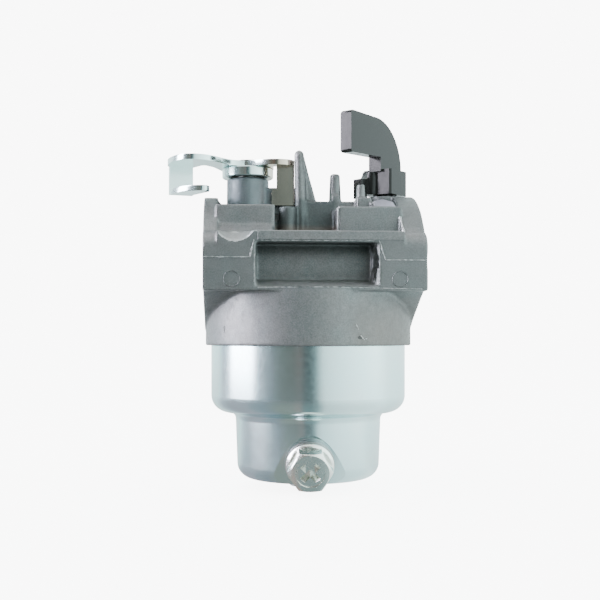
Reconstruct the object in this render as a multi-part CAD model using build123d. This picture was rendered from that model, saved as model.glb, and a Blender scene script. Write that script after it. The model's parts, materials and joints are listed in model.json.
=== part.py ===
from build123d import *
import os
from math import atan2, cos, degrees, hypot, radians, sin, sqrt, tan

# Float-bowl carburetor with a horizontal bore for a small four-stroke engine, in millimetres.
# The origin is the centre of the bore on the engine flange face. +X runs along the bore to the
# air cleaner, +Y is the fuel inlet side and +Z is up.

# ---- body ----
BODY_LENGTH = 44.5
BOWL_X = BODY_LENGTH / 2
THROTTLE_X = 9.2
CHOKE_X = 39.1
THROTTLE_BORE_R = 8.5
VENTURI_R = 6.75
CHOKE_BORE_R = 9.0
TUBE_R = 11.6
BOLT_Y = 17.5                  # mounting bolts, either side of the bore
BOLT_HOLE_R = 3.15
LUG_Y = 21.0
LUG_BOTTOM, LUG_TOP = -5.8, 6.1
ENGINE_FLANGE_T, FILTER_FLANGE_T = 2.8, 4.7
FLANGE_ARC_R = 21.7
ENGINE_ARC_TOP, FILTER_ARC_TOP = 14.9, 15.4
EAR_ROUND = 3.5
FLANGE_POINT_Z = -13.2
POCKET_X0, POCKET_X1 = 10.5, 34.2
POCKET_BOTTOM, POCKET_TOP = -4.9, 3.7
POCKET_DRAFT = 1.4
POCKET_BACK_R = 13.6
WALL_FRONT, WALL_TOP = -7.0, 13.65     # wall between the two stop posts
PAD_FRONT = -15.0
LEFT_PAD_TOP, RIGHT_PAD_TOP = 11.85, 11.6
LEFT_PAD_X1, RIGHT_PAD_X0 = BOWL_X - 7.85, BOWL_X + 4.9
BOSS_R = 4.5
THROTTLE_BOSS_TOP = 19.0
CHOKE_BOSS_TOP = 15.2

# ---- float chamber ----
RING_R = 22.1
GASKET_T = 1.6
RING_BOTTOM = -16.7
RING_TOP = -4.8
RING_ROUND = 7.6
SPIGOT_R = 21.05               # recess in the ring that takes the bowl's rim
CHAMBER_R = 19.4
CEILING_Z = -12.9
PILLAR_R = 4.2

# ---- bowl ----
SHEET = 0.9
BOWL_R = 20.9
BOWL_RIM_Z = -14.9
STEP_Z = -30.9
SUMP_TOP_R, SUMP_LOW_R = 15.7, 15.2
BOWL_BOTTOM = -45.1
DISH_R = 7.4
DISH_Z = -42.6
DRAIN_Z = -40.6
DRAIN_TILT = 15.6              # degrees, slanted flat from the vertical
DRAIN_TURN = -3.0              # degrees, round the bowl axis
FLAT_TOP_Y, FLAT_TOP_Z = -15.5, -35.0
HEAD_ACROSS = 8.0              # both bolts, across the flats
BOLT_WASHER_T, DRAIN_WASHER_T = 0.9, 1.0

# ---- shafts and valve plates ----
SHAFT_R = 2.5
SHAFT_FIT = 0.05               # radial running clearance
SHAFT_BOTTOM = -11.6
SEAL_R = 3.6
SEAL_T = 1.6
PLATE_CLEARANCE = 0.06
CLOSED_TILT = 8.0              # degrees that a closed plate leans from square to the bore
THROTTLE_PLATE_T = 0.9
CHOKE_PLATE_T = 0.8
SCREW_Z = 4.5

# ---- levers ----
COLLAR_R = 5.5
COLLAR_Z0, COLLAR_Z1 = 19.2, 21.3
LEVER_T = 1.15
LEVER_TOP = COLLAR_Z1 + LEVER_T
TONGUE_Z = 15.3                 # underside of the link hook
STOP_TAB_Y = -4.5
FIN_ANGLE = 50.0               # degrees, plane of the choke fin from the bore
FIN_T = 3.0
HUB_SIDE = 7.0
HUB_Z0, HUB_Z1 = 15.75, 21.1

# ---- fuel inlet, float and jets ----
NEEDLE_Y = 9.6
PIN_Y, PIN_Z = 15.7, -15.4
PIN_R = 0.8
POST_X0, POST_X1 = 5.4, 7.2
FLOAT_R, FLOAT_HOLE_R = 17.6, 6.3
FLOAT_TOP, FLOAT_BOTTOM = -14.9, -24.3
BRIDGE_TOP = -15.9
SEAT_R = 2.8
SEAT_BOTTOM, SEAT_TOP = -14.0, -10.0
INLET_Z = -8.6
INLET_R = 3.0
INLET_BOSS_R = 4.4
INLET_BOSS_END = 23.2
INLET_END = 36.5
BEAD_R, BEAD_Y0, BEAD_Y1 = 3.4, 33.4, 35.0    # land that the fuel hose grips
NOZZLE_R = 2.0
NOZZLE_TOP = -5.0
JET_R = 2.5
JET_TOP, JET_BOTTOM = -29.0, -33.0
BOLT_R = 2.95
BOLT_TOP = -37.6
PILOT_X, PILOT_Y = 26.5, 6.6
PILOT_R = 1.75
PILOT_SEAT_Z = 12.3


def box(x0, x1, y0, y1, z0, z1):
    middle = ((x0 + x1) / 2, (y0 + y1) / 2, (z0 + z1) / 2)
    return Pos(*middle) * Box(x1 - x0, y1 - y0, z1 - z0)


def upright(radius, z0, z1, x=0.0, y=0.0):
    return Pos(x, y, (z0 + z1) / 2) * Cylinder(radius, z1 - z0)


def along_x(radius, x0, x1, y=0.0, z=0.0):
    return Pos((x0 + x1) / 2, y, z) * Rot(0, 90, 0) * Cylinder(radius, x1 - x0)


def along_y(radius, y0, y1, x=0.0, z=0.0):
    return Pos(x, (y0 + y1) / 2, z) * Rot(90, 0, 0) * Cylinder(radius, y1 - y0)


def spun(outline, rounds=()):
    """Solid of revolution about Z from (radius, height) points; rounds are (index, fillet radius)."""
    face = Plane.XZ * make_face(Polyline(*outline, close=True))
    corners = {i: Vector(outline[i][0], 0, outline[i][1]) for i, _ in rounds}
    for i, radius in rounds:
        near = face.vertices().sort_by_distance(corners[i])[0]
        face = fillet(near, radius)
    return revolve(face, Axis.Z, 360)


def hexagon(across_flats, z0, z1):
    return Pos(0, 0, z0) * extrude(RegularPolygon(across_flats / 2, 6, major_radius=False), z1 - z0)


def solid_of(shape):
    """The one solid that a piece is made of."""
    return shape.solids().sort_by(SortBy.VOLUME)[-1]


# ---------------------------------------------------------------- body casting

def flange_outline(x0, x1, top_z):
    """Two-bolt flange: arched top, round-cornered ears and a pointed lower edge."""
    arc_z = top_z - FLANGE_ARC_R
    ear_z = arc_z + sqrt(FLANGE_ARC_R ** 2 - LUG_Y ** 2)
    arch = ThreePointArc((-LUG_Y, ear_z), (0, top_z), (LUG_Y, ear_z))
    inner = LUG_Y - 4.5
    point = 1.0
    rest = Polyline(
        (LUG_Y, ear_z), (LUG_Y, LUG_BOTTOM), (inner, LUG_BOTTOM), (point, FLANGE_POINT_Z),
        (-point, FLANGE_POINT_Z), (-inner, LUG_BOTTOM), (-LUG_Y, LUG_BOTTOM), (-LUG_Y, ear_z),
    )
    face = Plane.YZ * make_face([arch, rest])
    return Pos(x0, 0, 0) * extrude(face, x1 - x0)


def keel():
    """Wedge under the bore tube that joins both flanges to the chamber lid."""
    side = LUG_Y - 4.5
    face = Plane.YZ * make_face(Polyline(
        (side, LUG_BOTTOM), (1.0, FLANGE_POINT_Z), (-1.0, FLANGE_POINT_Z), (-side, LUG_BOTTOM),
        close=True,
    ))
    return extrude(face, BODY_LENGTH)


def bolt_lug(side):
    """Bar along the bore that carries a mounting bolt; side is -1 in front and 1 behind."""
    ys = sorted((side * (TUBE_R - 2.0), side * LUG_Y))
    bar = box(0, BODY_LENGTH, *ys, LUG_BOTTOM, LUG_TOP)
    corner = bar.edges().filter_by(Axis.X).sort_by(Axis.Z)[-2:].sort_by(Axis.Y)[0 if side < 0 else -1]
    square = box(ENGINE_FLANGE_T, BODY_LENGTH - FILTER_FLANGE_T, *ys, LUG_BOTTOM, LUG_TOP)
    return fillet(corner, EAR_ROUND) + square


def bolt_pocket(side):
    """Window in a lug, with a sloping floor and the round back wall of the bore tube."""
    outer = side * (LUG_Y + 1)
    back = side * (TUBE_R - 1)
    slope = POCKET_DRAFT / (LUG_Y - POCKET_BACK_R)
    face = make_face(Polyline(
        (outer, POCKET_BOTTOM - slope), (outer, POCKET_TOP - 0.1),
        (back, POCKET_TOP + 0.6), (back, POCKET_BOTTOM + 3 * slope + POCKET_DRAFT), close=True,
    ))
    prism = Pos(POCKET_X0, 0, 0) * extrude(Plane.YZ * face, POCKET_X1 - POCKET_X0)
    bevels = []
    for x, width in ((POCKET_X0, -0.35), (POCKET_X1, 0.75)):
        wedge = make_face(Polyline((x, side * (LUG_Y - abs(width))), (x, outer), (x + width, outer),
                                   (x + width, side * LUG_Y), close=True))
        bevels.append(Pos(0, 0, POCKET_BOTTOM) * extrude(wedge, POCKET_TOP - POCKET_BOTTOM, dir=(0, 0, 1)))
    return prism - along_x(POCKET_BACK_R, 0, BODY_LENGTH) + bevels


def bore():
    """Throttle bore, venturi and choke bore with a bevelled mouth."""
    outline = [
        (0, -1), (THROTTLE_BORE_R, -1), (THROTTLE_BORE_R, 18.2), (VENTURI_R, 22.0),
        (VENTURI_R, 24.6), (CHOKE_BORE_R, 29.6), (CHOKE_BORE_R, BODY_LENGTH - 0.8),
        (CHOKE_BORE_R + 1.8, BODY_LENGTH + 1), (0, BODY_LENGTH + 1),
    ]
    return Rot(0, 90, 0) * spun(outline)


def drafted_post(x, y, z0, z1, bottom_r, top_r):
    return Pos(x, y, (z0 + z1) / 2) * Cone(bottom_r, top_r, z1 - z0)


def casting_posts():
    """Stop posts and ribs that stand on the bore tube between the two shafts."""
    root = 5.5
    stop_x = BOWL_X - 2.35
    top = 23.4
    tall = drafted_post(0, 0, 0, top - root, 1.35, 1.02) + Pos(0, 0, top - root) * Sphere(1.0)
    tall = Pos(stop_x + 0.55, -6.3, root) * Rot(0, -1.8, 0) * tall
    sloped_rib = Pos(0, -2.2, 0) * extrude(Plane.XZ * make_face(Polyline(
        (stop_x, root), (stop_x, 23.3), (BOWL_X - 1.3, 23.3), (BOWL_X + 1.3, WALL_TOP),
        (BOWL_X + 1.3, root), close=True,
    )), 3.6)
    wall = box(stop_x, BOWL_X + 12.5, WALL_FRONT, -2.2, root, WALL_TOP)
    second = drafted_post(BOWL_X + 5.35, -4.9, root, 19.65, 1.7, 1.05)
    second = fillet(second.edges().sort_by(Axis.Z)[-1], 0.5)
    second += box(BOWL_X + 4.5, BOWL_X + 6.2, WALL_FRONT, -3.2, root, 15.0)
    low_wall = box(BOWL_X - 9.5, stop_x + 0.5, -2.9, -0.6, root, 17.0)
    buttress = upright(1.9, root, 12.3, BOWL_X - 4.85, -7.2)
    foot = box(BOWL_X + 9.5, BOWL_X + 12.6, -9.2, -5.0, root, 14.3)
    peg = drafted_post(BOWL_X + 10.55, -7.2, 14.0, 17.1, 1.05, 0.85)
    return [tall, sloped_rib, wall, second, low_wall, buttress, foot, peg]


def shaft_pads():
    """Flat-fronted pads below the two shaft bosses, with a toe on the left one."""
    left = box(2.5, LEFT_PAD_X1, PAD_FRONT, 0, 4.0, LEFT_PAD_TOP)
    right = box(RIGHT_PAD_X0, 40.2, PAD_FRONT, 0, 4.0, RIGHT_PAD_TOP)
    left = fillet(left.edges().filter_by(Axis.Z).sort_by(Axis.Y)[:2].sort_by(Axis.X)[-1], 0.45)
    right = fillet(right.edges().filter_by(Axis.Z).sort_by(Axis.Y)[:2].sort_by(Axis.X)[0], 0.35)
    toe_reach, toe_top = 2.4, 8.0
    toe = Pos(ENGINE_FLANGE_T, 0, 0) * extrude(Plane.YZ * make_face(Polyline(
        (PAD_FRONT - toe_reach, LUG_TOP - 0.1), (PAD_FRONT + 0.2, toe_top),
        (PAD_FRONT + 0.2, LUG_TOP - 0.1), close=True,
    )), LEFT_PAD_X1 - ENGINE_FLANGE_T - 0.45)
    return [left, right, toe]


def boss_facet():
    """Sloping five-sided facet between the right pad's top edge and the choke boss."""
    face = make_face(Polyline(
        (12.66, 11.0), (12.66, RIGHT_PAD_TOP), (12.3, 12.95), (14.84, 13.9), (16.86, 12.9),
        (16.6, RIGHT_PAD_TOP), (16.6, 11.0), close=True,
    ))
    block = Pos(BOWL_X, -3.0, 0) * extrude(Plane.XZ * face, 12.0)
    slope = make_face(Polyline(
        (PAD_FRONT, 10.5), (PAD_FRONT, RIGHT_PAD_TOP), (-9.2, 14.0), (-3.0, 14.0), (-3.0, 10.5),
        close=True,
    ))
    return block & extrude(Plane.YZ * slope, BODY_LENGTH)


def flange_web():
    """Low web that ties the engine flange to the throttle boss."""
    face = make_face(Polyline((2.0, 10.0), (2.0, 14.6), (3.0, 14.3), (4.3, 12.6), (6.0, 12.2), (6.0, 10.0),
                              close=True))
    return Pos(0, 1.0, 0) * extrude(Plane.XZ * face, 2.0)


def chamber_lid():
    """Round lid of the float chamber, with shoulders rounded toward the two flanges."""
    ring = upright(RING_R, RING_BOTTOM, RING_TOP, BOWL_X)
    block = box(BOWL_X - RING_R, BOWL_X + RING_R, -RING_R, RING_R, RING_BOTTOM, RING_TOP)
    return ring & fillet(block.edges().filter_by(Axis.Y).sort_by(Axis.Z)[-2:], RING_ROUND)


def lug_scoop():
    """Cutter for the scooped relief in the top front edge of the lug, by the engine flange."""
    radius, reach = 4.3, 9.0
    rise = Rot(-61.9, 0, 0)
    return Pos(BOWL_X - 15.9, -23.0, 7.7) * rise * Pos(0, 0, reach / 2 - 1.0) * Cylinder(radius, reach)


def hinge_posts():
    """Two ears under the lid that hold the float pin."""
    ears = []
    for side in (-1, 1):
        xs = sorted((BOWL_X + side * POST_X0, BOWL_X + side * POST_X1))
        ears.append(box(*xs, PIN_Y - 1.8, PIN_Y + 1.6, PIN_Z - 1.9, CEILING_Z + 1))
    return ears


def fuel_passages():
    """Inlet bore, needle-seat hole, main well with its side ports, and pilot hole."""
    pillar_bottom = DISH_Z + SHEET
    cuts = [along_y(INLET_R, 15.0, INLET_BOSS_END + 1, BOWL_X, INLET_Z)]
    cuts.append(along_y(1.2, NEEDLE_Y - 0.6, 15.5, BOWL_X, INLET_Z))
    cuts.append(upright(1.0, SEAT_TOP - 0.5, INLET_Z, BOWL_X, NEEDLE_Y))
    cuts.append(upright(SEAT_R, CEILING_Z - 3, SEAT_TOP, BOWL_X, NEEDLE_Y))
    cuts.append(upright(NOZZLE_R, JET_TOP - 1, -4.0, BOWL_X))
    cuts.append(upright(JET_R, JET_BOTTOM - 3, JET_TOP, BOWL_X))
    cuts.append(upright(BOLT_R + SHAFT_FIT, pillar_bottom - 1, JET_BOTTOM - 1.2, BOWL_X))
    cuts.append(along_x(0.9, BOWL_X - PILLAR_R - 1, BOWL_X + PILLAR_R + 1, 0, -35.6))
    cuts.append(upright(PILOT_R + SHAFT_FIT, 7.6, 18.0, PILOT_X, PILOT_Y))
    return cuts


def carburetor_body():
    body = along_x(TUBE_R, 0, BODY_LENGTH)
    body += flange_outline(0, ENGINE_FLANGE_T, ENGINE_ARC_TOP)
    body += flange_outline(BODY_LENGTH - FILTER_FLANGE_T, BODY_LENGTH, FILTER_ARC_TOP)
    body += [bolt_lug(-1), bolt_lug(1), keel(), chamber_lid()]
    body -= lug_scoop()
    body -= box(LEFT_PAD_X1, RIGHT_PAD_X0, PAD_FRONT - 1, WALL_FRONT, LUG_TOP + 0.1, 13)
    body += upright(BOSS_R, 5.0, THROTTLE_BOSS_TOP, THROTTLE_X)
    body += upright(BOSS_R + 0.2, 5.0, CHOKE_BOSS_TOP, CHOKE_X)
    body += upright(3.2, 5.0, PILOT_SEAT_Z, PILOT_X, PILOT_Y)
    body += along_y(INLET_BOSS_R, 11.0, INLET_BOSS_END, BOWL_X, INLET_Z)
    body += shaft_pads() + casting_posts() + [boss_facet(), flange_web()]

    # room in the ring for the bowl rim, then the chamber above it
    body -= upright(SPIGOT_R, RING_BOTTOM - 1, BOWL_RIM_Z + GASKET_T, BOWL_X)
    body -= upright(CHAMBER_R, RING_BOTTOM, CEILING_Z, BOWL_X)
    body += upright(PILLAR_R, DISH_Z + SHEET, CEILING_Z + 1, BOWL_X)
    body += hinge_posts()
    body -= along_x(PIN_R + 0.02, BOWL_X - 9, BOWL_X + 9, PIN_Y, PIN_Z)

    body -= bore()
    for side in (-1, 1):
        body -= bolt_pocket(side)
        body -= along_x(BOLT_HOLE_R, -1, BODY_LENGTH + 1, side * BOLT_Y)
    for x, top in ((THROTTLE_X, THROTTLE_BOSS_TOP), (CHOKE_X, CHOKE_BOSS_TOP)):
        body -= upright(SHAFT_R + SHAFT_FIT, SHAFT_BOTTOM - 0.2, top + 1, x)
        body -= upright(SEAL_R + 0.02, top - SEAL_T, top + 1, x)
    body -= fuel_passages()

    return solid_of(body)


# ---------------------------------------------------------------- bowl and its fasteners

def drain_plane(inward):
    """Plane of the slanted flat, moved inward by a distance; its normal points out of the bowl."""
    lean = radians(DRAIN_TILT)
    out = Vector(0, -cos(lean), -sin(lean))
    start = Vector(0, FLAT_TOP_Y, FLAT_TOP_Z) - out * inward
    return Plane(origin=start, x_dir=(1, 0, 0), z_dir=out)


def outside_flat(inward):
    """Everything beyond the slanted flat, in the sump only."""
    return drain_plane(inward) * Pos(0, 0, 25) * Box(60, 60, 50) & upright(40, -80, FLAT_TOP_Z + 1.6)


def bowl_solid(inset):
    """The bowl's outer form, or its inner form when inset by the sheet thickness."""
    outline = [
        (0, BOWL_RIM_Z + (2 if inset else 0)), (BOWL_R - inset, BOWL_RIM_Z + (2 if inset else 0)),
        (BOWL_R - inset, STEP_Z + inset), (SUMP_TOP_R - inset, STEP_Z + inset),
        (SUMP_LOW_R - inset, BOWL_BOTTOM + inset), (DISH_R + inset + 0.8, BOWL_BOTTOM + inset),
        (DISH_R + inset, DISH_Z + inset), (0, DISH_Z + inset),
    ]
    rounds = [(2, 3.5 - inset), (3, 1.7 + inset), (4, 3.2 - inset), (5, 0.5 + inset), (6, 1.2 - inset)]
    return spun(outline, rounds) - outside_flat(inset)


def drain_frame():
    """Place of the drain bolt on the slanted flat, with +Z pointing out of the bowl."""
    y = FLAT_TOP_Y + (FLAT_TOP_Z - DRAIN_Z) * tan(radians(DRAIN_TILT))
    flat = drain_plane(0)
    return Plane(origin=(0, y, DRAIN_Z), x_dir=(1, 0, 0), z_dir=flat.z_dir)


def on_bowl(shape):
    return Pos(BOWL_X, 0, 0) * Rot(0, 0, DRAIN_TURN) * shape


def float_bowl():
    bowl = bowl_solid(0) - bowl_solid(SHEET)
    bowl -= upright(BOLT_R + 0.2, DISH_Z - 1, DISH_Z + SHEET + 1)
    bowl -= drain_frame() * upright(BOLT_R + 0.2, -3, 3)
    return solid_of(on_bowl(bowl))


def bowl_gasket():
    outer = upright(SPIGOT_R - 0.02, BOWL_RIM_Z, BOWL_RIM_Z + GASKET_T, BOWL_X)
    return solid_of(outer - upright(CHAMBER_R + 0.1, BOWL_RIM_Z - 1, BOWL_RIM_Z + 3, BOWL_X))


def flanged_head(flange_r, flange_t, hex_t):
    """Hexagon head on a round flange; it stands on Z = 0 and points up."""
    half = HEAD_ACROSS / 2
    head = hexagon(HEAD_ACROSS, flange_t - 0.2, flange_t + hex_t)
    bevel = Pos(0, 0, flange_t + hex_t / 2) * Cone(half + hex_t, half - 0.2, hex_t)
    flange = Pos(0, 0, flange_t / 2) * Cylinder(flange_r, flange_t)
    flange = chamfer(flange.edges().filter_by(GeomType.CIRCLE).sort_by(Axis.Z)[-1], 0.5)
    return (head & (bevel + upright(HEAD_ACROSS, -1, flange_t))) + flange


def cross_recess(depth, span, width):
    """Cross-shaped driver recess cut down from Z = 0."""
    arms = Box(span, width, 2 * depth) + Box(width, span, 2 * depth)
    return arms & Cone(span / 2 - depth / 2, span / 2 + depth / 2, 2 * depth)


def bowl_bolt():
    head_z = DISH_Z - BOLT_WASHER_T
    head = Pos(0, 0, head_z) * Rot(180, 0, 0) * flanged_head(5.4, 1.2, 2.3)
    bolt = Pos(BOWL_X, 0, 0) * head + upright(BOLT_R, head_z, BOLT_TOP, BOWL_X)
    return solid_of(bolt)


def washer(outer, inner, thickness):
    return upright(outer, 0, thickness) - upright(inner, -1, thickness + 1)


def bowl_bolt_washer():
    ring = washer(5.8, BOLT_R + 0.1, BOLT_WASHER_T)
    return solid_of(Pos(BOWL_X, 0, DISH_Z - BOLT_WASHER_T) * ring)


def drain_bolt():
    flange_t, hex_t = 1.2, 3.1
    bolt = Pos(0, 0, DRAIN_WASHER_T) * flanged_head(4.9, flange_t, hex_t)
    bolt += upright(BOLT_R, -5.5, DRAIN_WASHER_T + 0.2)
    rim_z = DRAIN_WASHER_T + flange_t + hex_t
    bolt -= upright(2.95, rim_z - 0.35, rim_z + 1)
    bolt -= Pos(0, 0, rim_z - 0.3) * Rot(0, 0, 45) * cross_recess(2.0, 4.6, 1.3)
    return solid_of(on_bowl(drain_frame() * bolt))


def drain_bolt_washer():
    return solid_of(on_bowl(drain_frame() * washer(5.0, BOLT_R + 0.1, DRAIN_WASHER_T)))


def drain_weld_nut():
    """Round nut brazed inside the bowl behind the slanted flat."""
    nut = upright(4.6, -SHEET - 3.6, -SHEET) - upright(BOLT_R + SHAFT_FIT, -9, 1)
    return solid_of(on_bowl(drain_frame() * nut & bowl_solid(SHEET + 0.02)))


# ---------------------------------------------------------------- fuel inlet, float and jets

def fuel_inlet_nipple():
    tube = along_y(INLET_R, 16.0, INLET_END, BOWL_X, INLET_Z)
    bead = along_y(BEAD_R, BEAD_Y0, BEAD_Y1, BOWL_X, INLET_Z)
    ramp_t = 0.8
    ramp = Pos(BOWL_X, BEAD_Y1 + ramp_t / 2, INLET_Z) * Rot(-90, 0, 0) * Cone(BEAD_R, INLET_R, ramp_t)
    stop = along_y(INLET_R + 0.9, INLET_BOSS_END, INLET_BOSS_END + 1.0, BOWL_X, INLET_Z)
    return solid_of(tube + bead + ramp + stop - along_y(1.7, 15.0, INLET_END + 1, BOWL_X, INLET_Z))


def needle_seat():
    outline = [(1.56, SEAT_BOTTOM), (SEAT_R, SEAT_BOTTOM), (SEAT_R, SEAT_TOP), (0.7, SEAT_TOP),
               (0.7, -11.0), (1.56, -12.05)]
    return solid_of(Pos(BOWL_X, NEEDLE_Y, 0) * spun(outline))


def float_needle():
    foot = BRIDGE_TOP + 0.12
    outline = [(0, foot), (0.45, foot), (0.45, -14.8), (1.5, -14.8), (1.5, -12.2), (0.55, -11.2),
               (0, -11.0)]
    return solid_of(Pos(BOWL_X, NEEDLE_Y, 0) * spun(outline))


def float_body():
    """Horseshoe float round the main-jet pillar, with a bridge and a hinge barrel on one side."""
    shape = upright(FLOAT_R, FLOAT_BOTTOM, FLOAT_TOP) - upright(FLOAT_HOLE_R, -30, -10)
    shape = fillet(shape.edges().filter_by(GeomType.CIRCLE), 0.8)
    slot = 8.6
    shape -= box(-slot, slot, 3.5, 25, FLOAT_BOTTOM - 1, FLOAT_TOP + 1)
    shape += box(-slot - 1, slot + 1, 7.6, 11.6, BRIDGE_TOP - 1.6, BRIDGE_TOP)
    barrel_x = POST_X0 - 0.3
    barrel = along_x(1.6, -barrel_x, barrel_x, PIN_Y, PIN_Z)
    arm = box(-barrel_x, barrel_x, 11.0, PIN_Y, BRIDGE_TOP - 1.1, BRIDGE_TOP)
    hinge = arm + barrel - along_x(PIN_R + SHAFT_FIT, -9, 9, PIN_Y, PIN_Z)
    return solid_of(Pos(BOWL_X, 0, 0) * (shape + hinge))


def float_hinge_pin():
    return solid_of(along_x(PIN_R, BOWL_X - POST_X1 - 0.5, BOWL_X + POST_X1 + 0.5, PIN_Y, PIN_Z))


def main_nozzle():
    """Emulsion tube from the main jet up into the venturi, with its air holes."""
    tube = upright(NOZZLE_R - 0.01, JET_TOP, NOZZLE_TOP, BOWL_X)
    tube -= upright(1.1, JET_TOP - 1, NOZZLE_TOP + 1, BOWL_X)
    for z in (-24.0, -20.0, -16.0):
        tube -= along_x(0.45, BOWL_X - 3, BOWL_X + 3, 0, z)
    return solid_of(tube)


def main_jet():
    jet = upright(JET_R - 0.01, JET_BOTTOM, JET_TOP, BOWL_X)
    jet -= upright(0.45, JET_BOTTOM - 1, JET_TOP + 1, BOWL_X)
    slot = box(BOWL_X - 3, BOWL_X + 3, -0.35, 0.35, JET_BOTTOM - 1, JET_BOTTOM + 0.8)
    return solid_of(jet - slot)


def pilot_jet():
    head_z = PILOT_SEAT_Z + 1.5
    head = upright(2.5, PILOT_SEAT_Z, head_z, PILOT_X, PILOT_Y)
    head -= box(PILOT_X - 3, PILOT_X + 3, PILOT_Y - 0.35, PILOT_Y + 0.35, head_z - 0.8, head_z + 1)
    stem = upright(PILOT_R, 7.9, PILOT_SEAT_Z + 0.1, PILOT_X, PILOT_Y)
    groove = upright(3, 10.0, 11.2, PILOT_X, PILOT_Y) - upright(1.1, 9, 12, PILOT_X, PILOT_Y)
    return solid_of(head + stem - groove - upright(0.3, 7, 10, PILOT_X, PILOT_Y))


def pilot_jet_o_ring():
    ring = upright(PILOT_R + SHAFT_FIT, 10.05, 11.15, PILOT_X, PILOT_Y)
    return solid_of(ring - upright(1.12, 9, 12, PILOT_X, PILOT_Y))


# ---------------------------------------------------------------- throttle

def shaft_seal(x, top):
    return solid_of(Pos(x, 0, top - SEAL_T) * washer(SEAL_R, SHAFT_R + SHAFT_FIT, SEAL_T))


def closed_slab(x, near, far):
    """Slab across the bore at the closed angle, between two distances from the shaft axis."""
    return Pos(x, 0, 0) * Rot(0, 0, -CLOSED_TILT) * box(near, far, -20, 20, -20, 20)


def screw_holes(radius):
    """Cuts for the two plate screws, in the closed plate's own directions."""
    return [along_x(radius, -3, 3, 0, side * SCREW_Z) for side in (-1, 1)]


def throttle_shaft():
    half_length = THROTTLE_BORE_R
    shaft = upright(SHAFT_R, SHAFT_BOTTOM, LEVER_TOP + 0.05)
    shaft += upright(3.3, LEVER_TOP, LEVER_TOP + 0.4)
    shaft -= box(-4, 0, -4, 4, -half_length, half_length)
    shaft -= screw_holes(1.27)
    return solid_of(Pos(THROTTLE_X, 0, 0) * Rot(0, 0, -CLOSED_TILT) * shaft)


def throttle_plate():
    disc = along_x(THROTTLE_BORE_R - PLATE_CLEARANCE, THROTTLE_X - 9, THROTTLE_X + 9)
    slab = closed_slab(THROTTLE_X, -THROTTLE_PLATE_T, 0)
    holes = Pos(THROTTLE_X, 0, 0) * Rot(0, 0, -CLOSED_TILT) * Compound(screw_holes(1.27))
    return solid_of((disc & slab) - holes)


def throttle_plate_screws():
    """Two slotted screws that hold the plate on the shaft's flat."""
    screws = []
    for side in (-1, 1):
        z = side * SCREW_Z
        head = along_x(2.0, -THROTTLE_PLATE_T - 1.1, -THROTTLE_PLATE_T, 0, z)
        head -= box(-4, -THROTTLE_PLATE_T - 0.5, -0.3, 0.3, z - 3, z + 3)
        screws.append(head + along_x(1.25, -THROTTLE_PLATE_T, 2.2, 0, z))
    placed = [Pos(THROTTLE_X, 0, 0) * Rot(0, 0, -CLOSED_TILT) * screw for screw in screws]
    return Compound([solid_of(screw) for screw in placed])


def throttle_collar():
    collar = upright(COLLAR_R, COLLAR_Z0, COLLAR_Z1) - upright(SHAFT_R + 0.02, 10, 30)
    rims = collar.edges().filter_by(GeomType.CIRCLE).filter_by(lambda e: e.radius > COLLAR_R - 0.1)
    return solid_of(Pos(THROTTLE_X, 0, 0) * fillet(rims, 0.35))


def lever_plate():
    """Flat of the throttle lever, seen from above: link wing, hub and stop arm."""
    wing = make_face([
        Spline((-16.9, -2.1), (-15.8, -8.2), (-12.4, -11.9), (-8.4, -10.8), (-4.6, -6.3), (-0.8, -4.4)),
        FilletPolyline((-0.8, -4.4), (0.0, 4.5), (-5.2, 4.0), (-7.3, -1.9), (-9.3, -4.8), (-12.0, -0.6),
                       (-16.9, -2.1), radius=0.8),
    ])
    arm = make_face([
        Spline((-2.0, -4.2), (0.9, -4.7), (3.4, -6.3), (6.2, -7.0), (8.8, -6.1), (9.8, STOP_TAB_Y)),
        FilletPolyline((9.8, STOP_TAB_Y), (5.0, STOP_TAB_Y + 0.7), (3.0, 4.0), (-2.0, 4.0), (-2.0, -4.2),
                       radius=0.5),
    ])
    hub = upright(5.6, 0, LEVER_T) - box(-6, 6, -6, -4.1, -1, 2)
    return extrude(wing, LEVER_T) + extrude(arm, LEVER_T) + hub


def link_hook():
    """Tab bent down from the wing's rear edge, and a tongue bent forward from its foot."""
    left, right = (-16.5, -3.1), (-11.7, -1.6)
    lean = degrees(atan2(right[1] - left[1], right[0] - left[0]))
    length = hypot(right[0] - left[0], right[1] - left[1])
    tab = Pos(*left, 0) * Rot(0, 0, lean) * box(0, length, 0, LEVER_T, TONGUE_Z, LEVER_TOP - 0.02)
    top_edges = tab.edges().filter_by_position(Axis.Z, LEVER_TOP - 0.1, LEVER_TOP + 0.1)
    tab = fillet(top_edges.sort_by(Axis.Y)[-1], 0.9)
    tongue = make_face([
        Spline((-16.5, -3.1), (-14.7, -6.4), (-11.8, -8.8), (-9.1, -9.3), (-8.1, -7.7)),
        FilletPolyline((-8.1, -7.7), (-11.5, -2.4), (-11.9, -0.9), (-16.5, -3.1), radius=0.7),
    ])
    tongue = Pos(0, 0, TONGUE_Z) * extrude(tongue, LEVER_T)
    return [tab, tongue]


def stop_tab():
    """Tab bent down from the rear of the stop arm, with a wider foot."""
    left, foot_left, right = 6.05, 4.95, 9.8
    back = STOP_TAB_Y + LEVER_T
    leaf = box(left, right, STOP_TAB_Y, back, 14.0, LEVER_TOP - 0.02)
    top_edges = leaf.edges().filter_by(Axis.X).sort_by(Axis.Z)[-2:]
    leaf = fillet(top_edges.sort_by(Axis.Y)[-1], 0.9)
    foot = box(foot_left, right, STOP_TAB_Y, back, 13.0, 16.5)
    return leaf + fillet(foot.edges().filter_by(Axis.Y), 0.5)


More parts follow.
